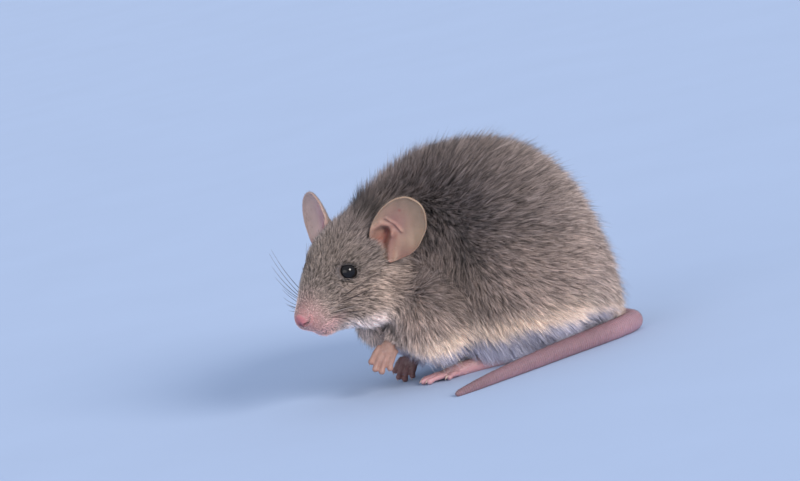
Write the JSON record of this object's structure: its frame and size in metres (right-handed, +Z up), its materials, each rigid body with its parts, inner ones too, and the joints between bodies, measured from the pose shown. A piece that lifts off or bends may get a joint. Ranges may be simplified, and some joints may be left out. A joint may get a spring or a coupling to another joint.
{
  "type": "house mouse",
  "caption": "Life-size still model of a grey-brown house mouse, crouched with fluffed coat, head turned to its left, one forepaw lifted and tail laid forward along the body.",
  "frame": {"origin": "middle of the animal's bounding box, on the floor it stands on", "axes": "+Z up, +X along the trunk towards the tail, so the head is towards -X and the left side faces -Y"},
  "size_m": [0.064, 0.044, 0.0417],
  "materials": {
    "fur": "soft grey-brown coat",
    "skin": "bare pinkish skin",
    "eye": "wet black gloss"
  },
  "bodies": {
    "root": {"head": "fur", "neck": "fur", "trunk": "fur", "haunch_left": "fur", "haunch_right": "fur", "foreleg_left": "fur", "nose": "skin", "ear_left": "skin", "ear_right": "skin", "forepaw_left": "skin", "forepaw_right": "skin", "hind_foot_left": "skin", "hind_foot_right": "skin", "tail_1": "skin", "tail_2": "skin", "tail_3": "skin", "tail_4": "skin", "eye_left": "eye", "eye_right": "eye"}
  },
  "joints": []
}
